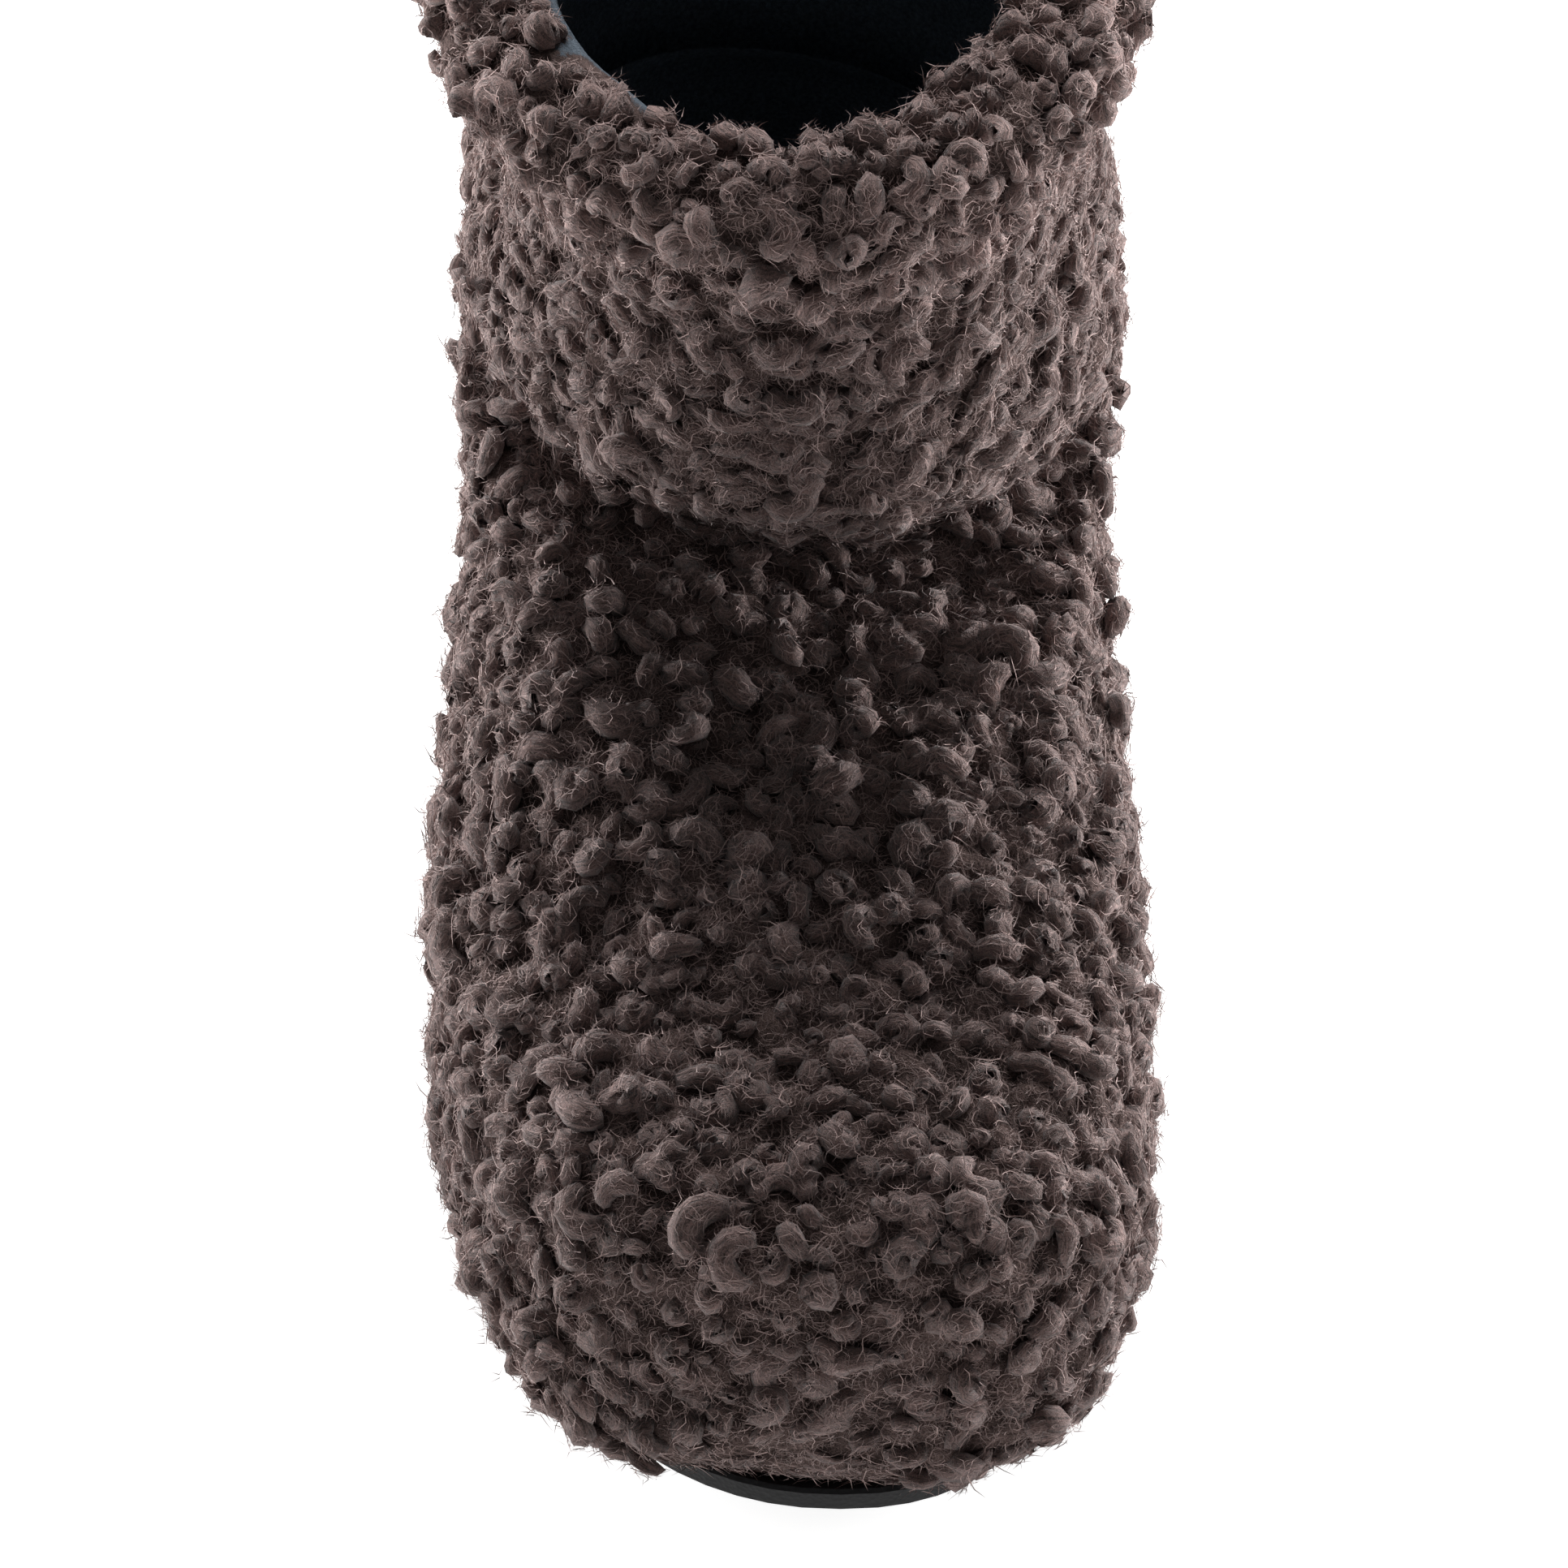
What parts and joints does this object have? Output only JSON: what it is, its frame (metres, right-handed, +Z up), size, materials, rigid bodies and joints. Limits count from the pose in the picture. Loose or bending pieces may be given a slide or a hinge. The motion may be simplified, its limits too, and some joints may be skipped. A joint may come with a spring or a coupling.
{
  "type": "bootie slipper",
  "caption": "Ankle-high bootie slipper in curly boucle pile with a plush rolled collar, slouched shaft and thin soft sole.",
  "frame": {"origin": "on the floor under the middle of the shoe's outer box, level with the sole's flat spots", "axes": "+Z up, -Y towards the toe and +Y towards the heel, +X towards the inner side of the foot"},
  "size_m": [0.111, 0.2626, 0.1534],
  "materials": {
    "sole_rubber": "matte",
    "insole_fleece": "napped fleece",
    "upper_pile": "curly boucle pile",
    "shaft_pile": "combed boucle pile"
  },
  "bodies": {
    "root": {"outsole": "sole_rubber", "insole": "insole_fleece", "upper": "upper_pile", "shaft": "shaft_pile"}
  },
  "joints": []
}
